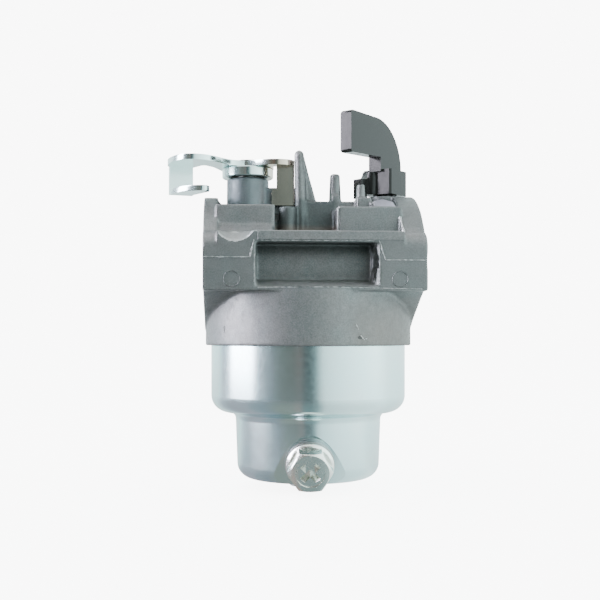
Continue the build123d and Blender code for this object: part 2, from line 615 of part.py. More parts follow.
def throttle_lever():
    """Stamped lever: a wing with a bent hook on one side and a bent stop tab on the other."""
    lever = Pos(0, 0, COLLAR_Z1) * lever_plate() + link_hook() + stop_tab()
    lever -= upright(SHAFT_R + 0.02, 10, 30)
    return solid_of(Pos(THROTTLE_X, 0, 0) * lever)


# ---------------------------------------------------------------- choke

def choke_fin():
    """Upright finger blade: flat top, quarter-round back and an overhanging nose."""
    stem, nose, back_top = 4.25, 15.75, 1.0
    top, throat, nose_bottom, arc_foot = 31.75, 23.6, 23.05, 22.6
    outline = [
        Line((-nose, nose_bottom), (-nose, top)), Line((-nose, top), (-stem - back_top, top)),
        RadiusArc((-stem - back_top, top), (stem, arc_foot), 10.3),
        Polyline((stem, arc_foot), (stem, HUB_Z1 - 0.5), (-stem, HUB_Z1 - 0.5), (-stem, throat),
                 (-nose, nose_bottom)),
    ]
    blade = Pos(0, FIN_T / 2, 0) * extrude(Plane.XZ * make_face(outline), FIN_T)
    ends = blade.edges().filter_by(Axis.Y).filter_by_position(Axis.X, -nose - 0.1, -nose + 0.1)
    blade = fillet(ends, 0.6)
    rear = blade.faces().filter_by(Axis.Y).sort_by(Axis.Y)[-1].edges()
    return fillet(rear.filter_by_position(Axis.Z, nose_bottom - 0.1, top + 0.1), 0.7)


def choke_lever():
    """Moulded choke lever in one piece: fin, square hub, stop arm and slotted shaft."""
    half = HUB_SIDE / 2
    hub = chamfer(box(-half, half, -half, half, HUB_Z0, HUB_Z1).edges().filter_by(Axis.Z), 0.4)
    rib = upright(1.3, HUB_Z0, HUB_Z1 - 0.6, -half, 1.2)
    reach, arm_top = 7.1, HUB_Z0 + 3.2
    web = make_face([
        Polyline((-reach + 1.6, arm_top), (-reach, arm_top), (-reach, HUB_Z0), (0, HUB_Z0),
                 (0, HUB_Z1 - 0.3), (-half - 0.8, HUB_Z1 - 0.3)),
        RadiusArc((-half - 0.8, HUB_Z1 - 0.3), (-reach + 1.6, arm_top), 2.6),
    ])
    arm = extrude(Plane.XZ * web, 2.4) + box(-reach, -5.4, -2.4, 0, HUB_Z0 - 1.0, HUB_Z0)
    arm = Pos(0, 2.6, 0) * arm
    top = Rot(0, 0, FIN_ANGLE) * (choke_fin() + hub + rib + Rot(0, 0, -12) * arm)
    slot_half = CHOKE_BORE_R + 0.1
    slot = box(-CHOKE_PLATE_T / 2 - 0.02, CHOKE_PLATE_T / 2 + 0.02, -4, 4, -slot_half, slot_half)
    shaft = upright(SHAFT_R, SHAFT_BOTTOM, HUB_Z0 + 1) - Rot(0, 0, -CLOSED_TILT) * slot
    return solid_of(Pos(CHOKE_X, 0, 0) * (top + shaft))


def choke_plate():
    disc = along_x(CHOKE_BORE_R - PLATE_CLEARANCE, CHOKE_X - 5, CHOKE_X + 5)
    slab = closed_slab(CHOKE_X, -CHOKE_PLATE_T / 2, CHOKE_PLATE_T / 2)
    relief = along_x(1.2, CHOKE_X - 5, CHOKE_X + 5, -5.2, -2.6)
    return solid_of((disc & slab) - relief)


NODES = {
    "carburetor_body": carburetor_body,
    "float_bowl": float_bowl,
    "bowl_gasket": bowl_gasket,
    "bowl_bolt": bowl_bolt,
    "bowl_bolt_washer": bowl_bolt_washer,
    "drain_bolt": drain_bolt,
    "drain_bolt_washer": drain_bolt_washer,
    "drain_weld_nut": drain_weld_nut,
    "fuel_inlet_nipple": fuel_inlet_nipple,
    "needle_seat": needle_seat,
    "float_needle": float_needle,
    "float": float_body,
    "float_hinge_pin": float_hinge_pin,
    "main_nozzle": main_nozzle,
    "main_jet": main_jet,
    "pilot_jet": pilot_jet,
    "pilot_jet_o_ring": pilot_jet_o_ring,
    "throttle_shaft": throttle_shaft,
    "throttle_shaft_seal": lambda: shaft_seal(THROTTLE_X, THROTTLE_BOSS_TOP),
    "throttle_plate": throttle_plate,
    "throttle_plate_screws": throttle_plate_screws,
    "throttle_collar": throttle_collar,
    "throttle_lever": throttle_lever,
    "choke_lever": choke_lever,
    "choke_shaft_seal": lambda: shaft_seal(CHOKE_X, CHOKE_BOSS_TOP),
    "choke_plate": choke_plate,
}

os.makedirs("parts", exist_ok=True)
for name, make in NODES.items():
    piece = make()
    piece.label = name
    export_step(piece, f"parts/{name}.step")
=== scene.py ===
import json
import math
import random
import bmesh
import bpy
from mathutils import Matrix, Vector, noise
from mathutils.bvhtree import BVHTree


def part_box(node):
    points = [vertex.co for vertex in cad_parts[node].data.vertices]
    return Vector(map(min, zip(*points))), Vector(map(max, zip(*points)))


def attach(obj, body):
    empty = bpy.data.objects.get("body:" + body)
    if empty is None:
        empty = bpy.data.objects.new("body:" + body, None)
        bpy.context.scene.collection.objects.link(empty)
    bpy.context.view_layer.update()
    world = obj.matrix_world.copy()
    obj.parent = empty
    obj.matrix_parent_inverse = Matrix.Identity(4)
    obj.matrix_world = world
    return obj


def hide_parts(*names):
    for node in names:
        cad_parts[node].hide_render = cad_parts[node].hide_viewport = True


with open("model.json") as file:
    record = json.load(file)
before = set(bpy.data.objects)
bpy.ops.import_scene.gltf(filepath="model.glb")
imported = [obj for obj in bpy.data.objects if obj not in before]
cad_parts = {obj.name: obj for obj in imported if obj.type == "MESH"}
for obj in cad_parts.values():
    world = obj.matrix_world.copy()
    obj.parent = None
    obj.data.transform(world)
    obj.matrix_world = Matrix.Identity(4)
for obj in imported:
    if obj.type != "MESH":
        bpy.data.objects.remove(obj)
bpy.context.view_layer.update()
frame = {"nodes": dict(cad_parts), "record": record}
nodes = frame["nodes"]
record = frame["record"]
MM = 0.001


# ---------------------------------------------------------------- places worked out from the frame

def centre(node):
    low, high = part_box(node)
    return (low + high) / 2


bowl_axis = centre("float_bowl")
ground_z = min(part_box(node)[0].z for node in nodes)
flange_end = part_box("carburetor_body")[1].x
throttle_x = centre("throttle_shaft_seal").x


# ---------------------------------------------------------------- camera

CAMERA_DISTANCE = 217 * MM         # from the bowl's axis
CAMERA_TURN = math.radians(4.0)    # to the left of straight in front
CAMERA_HEIGHT = -14.5 * MM         # from the bore's axis
CAMERA_ASIDE = 1.74 * MM
SENSOR_WIDTH, LENS = 36, 60        # mm, as Blender states them
SHIFT_UP = 35 / 600                # share of the image's width


def make_camera():
    """Level camera in front of the object, a little to its left, at the photograph's perspective."""
    forward = Vector((math.sin(CAMERA_TURN), math.cos(CAMERA_TURN), 0))
    right = Vector((math.cos(CAMERA_TURN), -math.sin(CAMERA_TURN), 0))
    data = bpy.data.cameras.new("camera")
    data.sensor_width, data.lens, data.shift_y = SENSOR_WIDTH, LENS, SHIFT_UP
    data.clip_start = 0.01
    camera = bpy.data.objects.new("camera", data)
    aim = Vector((bowl_axis.x, 0, CAMERA_HEIGHT))
    camera.location = aim - CAMERA_DISTANCE * forward - CAMERA_ASIDE * right
    camera.rotation_euler = (math.pi / 2, 0, -CAMERA_TURN)
    bpy.context.scene.collection.objects.link(camera)
    bpy.context.scene.camera = camera


make_camera()


# ---------------------------------------------------------------- materials

def new_material(name, color, metallic, roughness):
    material = bpy.data.materials.new(name)
    material.use_nodes = True
    shader = material.node_tree.nodes["Principled BSDF"]
    shader.inputs["Base Color"].default_value = (*color, 1)
    shader.inputs["Metallic"].default_value = metallic
    shader.inputs["Roughness"].default_value = roughness
    return material, shader


def tinted(color, *factors):
    """The colour times one factor, or times one each for red, green and blue."""
    if len(factors) == 1:
        factors *= 3
    return tuple(c * f for c, f in zip(color, factors))


class Pattern:
    """Small helper that adds nodes to a material, all in object coordinates."""

    def __init__(self, material, shader):
        self.tree, self.shader = material.node_tree, shader
        self.place = self.add("ShaderNodeTexCoord").outputs["Object"]

    def add(self, kind, **settings):
        node = self.tree.nodes.new(kind)
        for key, value in settings.items():
            setattr(node, key, value)
        return node

    def link(self, source, target):
        self.tree.links.new(source, target)

    def stretched(self, scale):
        """Object coordinates, scaled along each axis."""
        node = self.add("ShaderNodeMapping")
        node.inputs["Scale"].default_value = scale
        self.link(self.place, node.inputs["Vector"])
        return node.outputs["Vector"]

    def noise(self, size_mm, detail=2.0, rough=0.5, stretch=None):
        node = self.add("ShaderNodeTexNoise")
        node.inputs["Scale"].default_value = 1 / (size_mm * MM)
        node.inputs["Detail"].default_value = detail
        node.inputs["Roughness"].default_value = rough
        self.link(self.stretched(stretch) if stretch else self.place, node.inputs["Vector"])
        return node.outputs["Fac"]

    def levels(self, source, low, high, out_low=0.0, out_high=1.0):
        """The source, with low to high mapped to out_low to out_high and held there."""
        node = self.add("ShaderNodeMapRange")
        ends = {"From Min": low, "From Max": high, "To Min": out_low, "To Max": out_high}
        for key, value in ends.items():
            node.inputs[key].default_value = value
        self.link(source, node.inputs["Value"])
        return node.outputs["Result"]

    def mix(self, factor, first, second):
        """The first colour where factor is 0, the second where it is 1. A colour may be a socket."""
        node = self.add("ShaderNodeMix", data_type="RGBA")
        self.link(factor, node.inputs["Factor"])
        for value, socket in ((first, node.inputs[6]), (second, node.inputs[7])):
            if isinstance(value, tuple):
                socket.default_value = (*value, 1)
            else:
                self.link(value, socket)
        return node.outputs[2]

    def math(self, operation, first, second):
        node = self.add("ShaderNodeMath", operation=operation)
        for value, socket in ((first, node.inputs[0]), (second, node.inputs[1])):
            if isinstance(value, (int, float)):
                socket.default_value = value
            else:
                self.link(value, socket)
        return node.outputs[0]

    def along(self, axis):
        """The place along X, Y or Z, in metres."""
        node = self.add("ShaderNodeSeparateXYZ")
        self.link(self.place, node.inputs[0])
        return node.outputs[axis]

    def edges(self):
        """Above a half on outer edges, and below it in inner corners."""
        return self.add("ShaderNodeNewGeometry").outputs["Pointiness"]

    def bump(self, source, depth_mm, strength=1.0):
        node = self.add("ShaderNodeBump")
        node.inputs["Strength"].default_value = strength
        node.inputs["Distance"].default_value = depth_mm * MM
        self.link(source, node.inputs["Height"])
        self.link(node.outputs["Normal"], self.shader.inputs["Normal"])

    def patch(self, shown, spans, soft, color, strength):
        """Mixes a colour in within a soft-edged box, in mm, its X measured from the bowl axis."""
        mask = None
        for axis, start, (low, high) in zip("XYZ", (bowl_axis.x, 0, 0), spans):
            place = self.along(axis)
            rising = self.levels(place, start + (low - soft) * MM, start + low * MM)
            falling = self.levels(place, start + (high + soft) * MM, start + high * MM)
            inside = self.math("MULTIPLY", rising, falling)
            mask = self.math("MULTIPLY", mask, inside) if mask else inside
        return self.mix(self.math("MULTIPLY", mask, strength), shown, color)

    def color(self, source):
        self.link(source, self.shader.inputs["Base Color"])

    def roughness(self, source):
        self.link(source, self.shader.inputs["Roughness"])


# Painted shade, light and reflections on the casting's recesses and faces, after the photograph, and a
# real stain on the lid. Each has its box in mm, with X from the bowl axis, the width of the box's soft
# edge, a colour and how strongly it shows
PAINTED_LIGHT_AND_STAIN = (
    # painted shade in the recess between the shaft pads
    (((-7.9, 4.9), (-9.0, 2.0), (6.6, 13.6)), 1.0, (0.045, 0.062, 0.062), 0.62),
    # painted brownish reflection at the foot of that recess
    (((-7.9, 4.9), (-12.0, 2.0), (5.0, 7.6)), 1.2, (0.22, 0.18, 0.15), 0.5),
    # painted shade under the pocket's roof
    (((-11.2, 11.4), (-20.0, -12.0), (3.4, 4.2)), 1.8, (0.03, 0.045, 0.042), 0.6),
    # painted light on the pocket's ledge, which lies in shade
    (((-11.7, 11.9), (-20.6, -12.0), (-5.25, -3.4)), 0.4, (0.40, 0.42, 0.41), 0.7),
    # painted shade on the arch by the air cleaner
    (((17.5, 22.3), (-22.0, 22.0), (7.5, 16.0)), 1.5, (0.09, 0.11, 0.11), 0.4),
    # painted shade on the front of the lug
    (((-23.0, 23.0), (-22.0, -20.9), (-5.3, 6.2)), 0.4, (0.10, 0.115, 0.115), 0.35),
    # painted lavender reflection on the facet by the choke boss
    (((12.7, 16.9), (-15.3, -9.5), (11.8, 14.0)), 0.2, (0.36, 0.36, 0.43), 0.8),
    # painted highlight on the throttle boss
    (((-18.0, -8.2), (-5.2, 5.2), (12.4, 19.5)), 0.4, (0.16, 0.205, 0.225), 0.6),
    # stain on the lid
    (((9.0, 22.5), (-22.5, 0.0), (-17.0, -9.0)), 3.0, (0.135, 0.125, 0.118), 0.5),
)
CAST_TONE = (0.150, 0.158, 0.157)


def cast_alloy(name="cast_alloy", lightness=1.0, rough=0.5, worn_and_painted_light=True):
    """Die-cast zinc alloy with fine grain, cool and warm blotches and a brownish stain low on the lid. With
    worn_and_painted_light it also has edges rubbed bright, and the painted shade, light and reflections and
    the lid's stain of PAINTED_LIGHT_AND_STAIN; the small marks on the casting haven't."""
    tone = tinted(CAST_TONE, lightness)
    material, shader = new_material(name, tone, 0.8, rough)
    p = Pattern(material, shader)
    cool, warm = tinted(tone, 0.88, 0.97, 0.98), tinted(tone, 1.07, 1.03, 1.03)
    blotch = p.mix(p.levels(p.noise(7, 3), 0.38, 0.62), cool, warm)
    low_down = p.levels(p.along("Z"), -9 * MM, -14 * MM)
    to_filter = p.levels(p.along("X"), bowl_axis.x + 4 * MM, bowl_axis.x + 14 * MM)
    uneven = p.levels(p.noise(4, 3), 0.3, 0.7, 0.4, 1)
    stain = p.math("MULTIPLY", p.math("MULTIPLY", low_down, to_filter), uneven)
    blotch = p.mix(stain, blotch, tinted(tone, 1.12, 0.97, 0.86))
    grain = p.noise(0.3, 3, 0.7)
    mottle = p.levels(p.noise(1.3, 3, 0.6), 0.38, 0.62, 0, 0.4)
    blotch = p.mix(mottle, blotch, tinted(tone, 0.74))
    shown = p.mix(p.levels(grain, 0.35, 0.7, 0, 0.75), blotch, tinted(tone, 1.55))
    if worn_and_painted_light:
        rubs = p.levels(p.noise(1.6, 2, 0.6), 0.42, 0.66)
        bright = p.math("MULTIPLY", p.levels(p.edges(), 0.55, 0.63), rubs)
        shown = p.mix(bright, shown, tinted(tone, 2.6))
        # painted shade, light and reflections in soft-edged boxes, and the lid's stain
        for spans, soft, shade, strength in PAINTED_LIGHT_AND_STAIN:
            shown = p.patch(shown, spans, soft, shade, strength)
    p.color(shown)
    p.roughness(p.levels(p.noise(1.2, 3), 0.3, 0.7, rough - 0.05, rough + 0.08))
    p.bump(grain, 0.03, 0.6)
    return material


def machined_alloy():
    """The same alloy where a cutter has been over it."""
    material, shader = new_material("machined_alloy", (0.5, 0.51, 0.51), 1.0, 0.3)
    p = Pattern(material, shader)
    lines = p.noise(0.5, 2, 0.5, (1, 0.15, 5))
    p.color(p.mix(p.levels(p.noise(5, 2), 0.35, 0.65), (0.42, 0.43, 0.43), (0.55, 0.56, 0.56)))
    p.roughness(p.levels(lines, 0.3, 0.7, 0.26, 0.4))
    p.bump(lines, 0.01, 0.5)
    return material


def zinc(name, color, rough_low, rough_high, grain_depth):
    """Zinc plating: soft warm and cool clouds, and a roughness that varies finely."""
    material, shader = new_material(name, color, 1.0, rough_low)
    p = Pattern(material, shader)
    warm, cool = tinted(color, 1.02, 0.98, 0.97), tinted(color, 0.94, 1.0, 1.01)
    p.color(p.mix(p.levels(p.noise(14, 2), 0.35, 0.65), cool, warm))
    p.roughness(p.levels(p.noise(0.9, 4, 0.6), 0.35, 0.7, rough_low, rough_high))
    p.bump(p.noise(1.5, 2, 0.5), grain_depth, 0.3)
    return material


def lever_zinc():
    """Bright zinc of the throttle lever, a little more yellow toward its stop tab."""
    color = (0.64, 0.79, 0.78)
    material, shader = new_material("zinc_plated_lever", color, 1.0, 0.17)
    p = Pattern(material, shader)
    lever = centre("throttle_lever")
    to_tab = p.levels(p.along("X"), lever.x + 6 * MM, lever.x + 9 * MM)
    cloud = p.levels(p.noise(9, 2), 0.3, 0.7, 0, 0.35)
    plating = p.mix(cloud, color, (0.70, 0.80, 0.76))
    p.color(p.mix(to_tab, plating, (0.58, 0.50, 0.41)))
    p.roughness(p.levels(p.noise(6, 2), 0.3, 0.7, 0.16, 0.2))
    return material


def black_plastic():
    """Glossy moulded plastic with a faint orange peel."""
    material, shader = new_material("black_plastic", (0.012, 0.014, 0.013), 0.0, 0.2)
    shader.inputs["Specular IOR Level"].default_value = 0.23
    p = Pattern(material, shader)
    p.roughness(p.levels(p.noise(1.5, 3), 0.3, 0.7, 0.16, 0.26))
    p.bump(p.noise(0.5, 2), 0.006, 0.4)
    return material


def turned_metal(name, color, rough):
    """Metal with fine rings left by the lathe."""
    material, shader = new_material(name, color, 1.0, rough)
    p = Pattern(material, shader)
    p.color(p.mix(p.levels(p.noise(3, 3), 0.35, 0.65), color, tinted(color, 0.82)))
    rings = p.noise(0.25, 2, 0.5, (1, 1, 6))
    p.roughness(p.levels(rings, 0.3, 0.7, rough, rough + 0.15))
    p.bump(rings, 0.012, 0.5)
    return material


def matt(name, color, rough, grain_mm, depth_mm):
    """Dull grainy stuff: rubber, fibre, felt or foam."""
    material, shader = new_material(name, color, 0.0, rough)
    p = Pattern(material, shader)
    grain = p.noise(grain_mm, 4, 0.65)
    p.color(p.mix(p.levels(grain, 0.3, 0.7), color, tinted(color, 0.6)))
    p.bump(grain, depth_mm, 0.6)
    return material


MATERIALS = {
    "cast_alloy": cast_alloy(),
    "zinc_plated_steel": zinc("zinc_plated_steel", (0.60, 0.76, 0.77), 0.17, 0.24, 0.004),
    "zinc_plated_lever": lever_zinc(),
    "zinc_bolt": zinc("zinc_bolt", (0.90, 0.91, 0.85), 0.18, 0.3, 0.004),
    "washer_aluminium": turned_metal("washer_aluminium", (0.6, 0.6, 0.6), 0.3),
    "gasket_fibre": matt("gasket_fibre", (0.2, 0.06, 0.035), 0.8, 0.3, 0.05),
    "seal_rubber": matt("seal_rubber", (0.02, 0.02, 0.02), 0.55, 0.4, 0.02),
    "brass": turned_metal("brass", (0.62, 0.42, 0.16), 0.22),
    "needle_alloy": turned_metal("needle_alloy", (0.5, 0.5, 0.48), 0.25),
    "float_plastic": matt("float_plastic", (0.03, 0.03, 0.03), 0.6, 0.3, 0.03),
    "jet_plastic": matt("jet_plastic", (0.025, 0.025, 0.03), 0.4, 0.4, 0.02),
    "steel": turned_metal("steel", (0.52, 0.52, 0.51), 0.25),
    "plate_steel": turned_metal("plate_steel", (0.5, 0.49, 0.46), 0.3),
    "felt": matt("felt", (0.16, 0.14, 0.11), 0.95, 0.25, 0.1),
    "black_plastic": black_plastic(),
}

slot_of = {part["node"]: part["material_slot"] for part in record["subparts"]}
for name, node in nodes.items():
    node.data.materials.clear()
    node.data.materials.append(MATERIALS[slot_of[name]])


# ---------------------------------------------------------------- casting

SKIN = 0.28 * MM               # size of the faces that the cast skin is made of
SKIN_KEPT = 0.42               # share of those faces that is kept
SEAM = 0.002 * MM              # points of a CAD mesh nearer than this are one point
UNEVENNESS = ((0.7, 0.012), (3.5, 0.04))    # of the cast skin: size and height in mm
FLANGE_SKIN = 0.1 * MM         # how near a flange's face counts as on it
BORE_REACH = 9.3 * MM          # the bore's wall lies nearer its axis than this
SHAFT_REACH = 4 * MM           # and the throttle shaft's seat nearer the shaft's
SCOOP_MIDDLE = Vector((bowl_axis.x - 15.9 * MM, -20 * MM, 5.5 * MM))
SCOOP_REACH, SCOOP_TOP, SCOOP_START_X = 5.2 * MM, 6.0 * MM, 3.0 * MM


def welded(node, name):
    """Copy of a node's mesh with its seams closed."""
    work = bmesh.new()
    work.from_mesh(nodes[node].data)
    bmesh.ops.remove_doubles(work, verts=work.verts, dist=SEAM)
    mesh = bpy.data.meshes.new(name)
    work.to_mesh(mesh)
    work.free()
    return mesh


def settle(piece):
    """Applies the piece's modifiers to its mesh."""
    graph = bpy.context.evaluated_depsgraph_get()
    mesh = bpy.data.meshes.new_from_object(piece.evaluated_get(graph))
    piece.modifiers.clear()
    piece.data = mesh


def keep_inside(mesh, node):
    """Holds every point of a mesh within a node's box."""
    low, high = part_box(node)
    for vertex in mesh.vertices:
        vertex.co = [min(max(v, a), b) for v, a, b in zip(vertex.co, low, high)]


def is_scoop(spot, normal):
    """True in the scooped relief at the top front edge of the lug by the engine flange."""
    sloping = 0.1 < normal.z < 0.97 and normal.y < -0.1
    in_place = spot.z < SCOOP_TOP and spot.x > SCOOP_START_X
    return sloping and in_place and (spot - SCOOP_MIDDLE).length < SCOOP_REACH


def in_bore(spot):
    return math.hypot(spot.y, spot.z) < BORE_REACH


def in_shaft_seat(spot):
    """True round the throttle's shaft."""
    return math.hypot(spot.x - throttle_x, spot.y) < SHAFT_REACH


def is_machined(spot, normal):
    """True on the two flange faces and in the bore."""
    if abs(normal.x) > 0.9:
        return spot.x < FLANGE_SKIN or spot.x > flange_end - FLANGE_SKIN
    return in_bore(spot)


class Marks:
    """Thin flash ridges and mould marks on the front of the casting, standing on its surface."""

    sunk = Vector((0, 0.1 * MM, 0))    # how far a mark's foot goes into the casting
    step_mm = 0.4                      # length of a ridge's pieces

    def __init__(self, surface):
        self.surface = surface
        self.mesh = bmesh.new()
        self.rng = random.Random(11)

    def front(self, x, z):
        """Point on the front surface at x from the bowl axis and height z, both in mm."""
        start = Vector((bowl_axis.x + x * MM, -30 * MM, z * MM))
        hit = self.surface.ray_cast(start, Vector((0, 1, 0)))[0]
        return hit or start

    def ridge(self, corners, width, height, rough=0.5):
        """Ridge with sloping sides along the corners; its width and height vary by the share rough."""
        spots = []
        for first, last in zip(corners, corners[1:]):
            steps = max(1, round(math.dist(first, last) / self.step_mm))
            spots += [tuple(a + (b - a) * i / steps for a, b in zip(first, last)) for i in range(steps)]
        spots.append(corners[-1])
        rings = []
        for i, (x, z) in enumerate(spots):
            before, after = spots[max(i - 1, 0)], spots[min(i + 1, len(spots) - 1)]
            run = Vector((after[0] - before[0], after[1] - before[1])).normalized()
            half = width / 2 * (1 + self.rng.uniform(-rough, rough))
            rise = height * (1 + self.rng.uniform(-rough, rough))
            middle = self.front(x, z)
            across = Vector((-run.y, 0, run.x)) * half * MM
            out = Vector((0, -rise * MM, 0))
            rings.append([self.mesh.verts.new(p) for p in (
                middle - across + self.sunk, middle - 0.3 * across + out, middle + 0.3 * across + out,
                middle + across + self.sunk)])
        for one, two in zip(rings, rings[1:]):
            for i in range(4):
                j = (i + 1) % 4
                self.mesh.faces.new((one[i], one[j], two[j], two[i]))
        self.mesh.faces.new(rings[0])
        self.mesh.faces.new(list(reversed(rings[-1])))

    def circle(self, x, z, radius, width, height, count=40):
        """Ring left by an ejector pin."""
        rings = []
        for i in range(count):
            a = 2 * math.pi * i / count
            direction = Vector((math.cos(a), 0, math.sin(a)))
            middle = self.front(x, z) + direction * radius * MM
            half, out = direction * width / 2 * MM, Vector((0, -height * MM, 0))
            section = (middle - half + self.sunk, middle + out, middle + half + self.sunk)
            rings.append([self.mesh.verts.new(p) for p in section])
        for i in range(count):
            one, two = rings[i], rings[(i + 1) % count]
            for j in range(3):
                k = (j + 1) % 3
                self.mesh.faces.new((one[j], one[k], two[k], two[j]))

    def panel(self, x0, x1, z0, z1, rise):
        """Flat patch that stands a little out of the surface, its edges bevelled by as much."""
        y = self.front((x0 + x1) / 2, (z0 + z1) / 2).y

        def outline(inset, depth):
            left, right, foot, head = x0 + inset, x1 - inset, z0 + inset, z1 - inset
            around = ((left, foot), (right, foot), (right, head), (left, head))
            return [self.mesh.verts.new((bowl_axis.x + x * MM, depth, z * MM)) for x, z in around]

        base, top = outline(0, y + self.sunk.y), outline(rise, y - rise * MM)
        self.mesh.faces.new(top)
        self.mesh.faces.new(list(reversed(base)))
        for i in range(4):
            j = (i + 1) % 4
            self.mesh.faces.new((base[i], base[j], top[j], top[i]))

    def object(self, name, material):
        """The marks as one piece, held within the casting's box."""
        bmesh.ops.recalc_face_normals(self.mesh, faces=self.mesh.faces)
        mesh = bpy.data.meshes.new(name)
        self.mesh.to_mesh(mesh)
        self.mesh.free()
        keep_inside(mesh, "carburetor_body")
        mesh.materials.append(material)
        piece = bpy.data.objects.new(name, mesh)
        bpy.context.scene.collection.objects.link(piece)
        return piece


def make_casting():
    """The body casting with a grainy skin and softly rounded edges, in place of its CAD node. Returns the
    CAD surface, for the marks to stand on."""
    source = welded("carburetor_body", "casting_source")
    piece = bpy.data.objects.new("casting", source)
    bpy.context.scene.collection.objects.link(piece)
    remesh = piece.modifiers.new("skin", "REMESH")
    remesh.mode = "VOXEL"
    remesh.voxel_size = SKIN
    remesh.use_smooth_shade = True
    soften = piece.modifiers.new("soften", "SMOOTH")
    soften.factor, soften.iterations = 0.5, 2
    settle(piece)
    mesh = piece.data
    swell = []    # all new places first, because a moved point turns its neighbours' normals
    for vertex in mesh.vertices:
        spot = vertex.co
        fine = sum(noise.noise(spot / (size * MM)) * height for size, height in UNEVENNESS)
        if in_bore(spot) or in_shaft_seat(spot):
            fine = 0
        swell.append(spot + vertex.normal * fine * MM)
    for vertex, spot in zip(mesh.vertices, swell):
        vertex.co = spot
    keep_inside(mesh, "carburetor_body")
    thin = piece.modifiers.new("thin", "DECIMATE")
    thin.ratio = SKIN_KEPT
    settle(piece)
    keep_inside(piece.data, "carburetor_body")
    # the scoop's copy of the alloy is twice as light and smoother: painted light where it faces the lamps
    scoop = cast_alloy("cast_alloy_scoop_painted_light", 2.0, 0.42, worn_and_painted_light=False)
    piece.data.materials.clear()
    for material in (MATERIALS["cast_alloy"], machined_alloy(), scoop):
        piece.data.materials.append(material)
    for face in piece.data.polygons:
        face.use_smooth = True
        if is_machined(face.center, face.normal):
            face.material_index = 1
        elif is_scoop(face.center, face.normal):
            face.material_index = 2
    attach(piece, "carburetor")
    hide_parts("carburetor_body")
    return BVHTree.FromPolygons([v.co for v in source.vertices], [p.vertices for p in source.polygons])


# Ridges of flash on the front: corners as X from the bowl axis and Z, width and height, all in mm, and how
# much the last two vary
FLASH = (
    # lug's left half
    (((-22.0, 0.75), (-13.0, 0.75), (-12.6, 2.6), (-12.2, 4.1)), 0.3, 0.12, 0.5),
    # lug's right half
    (((22.0, 0.3), (13.7, 0.3), (13.2, 1.6), (12.8, 3.3), (12.4, 4.1)), 0.3, 0.12, 0.5),
    # edge of the right pad
    (((4.95, 6.4), (4.95, 11.2)), 0.35, 0.15, 0.3),
    # over the pocket
    (((-11.4, 4.05), (11.6, 4.05)), 0.13, 0.06, 0.9),
    # to the pocket's right
    (((12.55, 4.0), (12.6, -4.6)), 0.2, 0.1, 0.7),
    # to the pocket's left
    (((-12.15, 1.4), (-12.2, -4.2)), 0.16, 0.08, 0.8),
    # along the lug's lower edge
    (((-11.5, -5.2), (3.0, -5.1), (21.0, -5.4)), 0.16, 0.06, 0.9),
    # by the air cleaner's flange
    (((17.6, 9.6), (17.75, 7.6), (18.0, 5.7)), 0.5, 0.2, 0.4),
    # scratches on the lid
    (((-18.0, -12.6), (-18.1, -13.9)), 0.3, 0.12, 0.5),
    (((7.9, -12.4), (8.4, -13.4)), 0.3, 0.12, 0.5),
    (((8.8, -14.6), (9.6, -15.4), (10.2, -15.2)), 0.4, 0.15, 0.5),
)
STAIN = (((8.3, -15.0), (9.3, -15.2)), 0.75, 0.05, 0.6)    # as a ridge, under the last scratch
EJECTOR_X, EJECTOR_Z, EJECTOR_RADIUS = 16.6, -3.5, 1.55
EJECTOR_WIDTH, EJECTOR_HEIGHT = 0.32, 0.14
SLIDE_MARK = (-11.6, 17.4, 4.1, 6.0, 0.17)                 # X from and to, Z from and to, and its rise


def make_marks(surface):
    """Flash, a stain, ejector rings and a slide mark on the front of the casting. The flash is painted
    lighter as a highlight along its ridges, and the scratches among it are bright bare metal.
    """
    flash, stain, moulded = Marks(surface), Marks(surface), Marks(surface)
    for ridge in FLASH:
        flash.ridge(*ridge)
    stain.ridge(*STAIN)
    for x in (-EJECTOR_X, EJECTOR_X):
        moulded.circle(x, EJECTOR_Z, EJECTOR_RADIUS, EJECTOR_WIDTH, EJECTOR_HEIGHT)
    moulded.panel(*SLIDE_MARK)
    for marks, name, material in (
            (stain, "casting_stain", cast_alloy("cast_alloy_stain", 0.5, 0.6, worn_and_painted_light=False)),
            # flash ridges painted 2.6 times lighter as a highlight; the scratches in it are bright bare
            # metal
            (flash, "casting_flash", cast_alloy("cast_alloy_flash_highlight_and_scratch_wear", 2.6, 0.4, worn_and_painted_light=False)),
            (moulded, "casting_marks", cast_alloy("cast_alloy_marks", worn_and_painted_light=False))):
        piece = marks.object(name, material)
        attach(piece, "carburetor")


make_marks(make_casting())


# ---------------------------------------------------------------- softened edges

SOFT_EDGES = {"throttle_lever": 0.12, "choke_lever": 0.2, "drain_bolt": 0.1, "bowl_bolt": 0.1}    # in mm


def soften_edges(node, width_mm):
    """Rounds a CAD node's edges by modifiers, which leave its own mesh as it is."""
    piece = nodes[node]
    weld = piece.modifiers.new("weld", "WELD")
    weld.merge_threshold = SEAM
    bevel = piece.modifiers.new("edges", "BEVEL")
    bevel.width = width_mm * MM
    bevel.segments = 2
    bevel.limit_method = "ANGLE"
    bevel.angle_limit = math.radians(40)
    bevel.harden_normals = True


for name, width in SOFT_EDGES.items():
    soften_edges(name, width)


# ---------------------------------------------------------------- studio

FLOOR_SIZE, BACKDROP_RADIUS = 6, 2.9       # in metres
PANEL_STEP = 5                             # degrees


def stage_only(piece, camera, others):
    """Makes a stage object cast no shadow, and says whether the camera and other rays see it."""
    piece.visible_camera = camera
    piece.visible_diffuse = others
    piece.visible_glossy = others
    piece.visible_transmission = others
    piece.visible_shadow = False


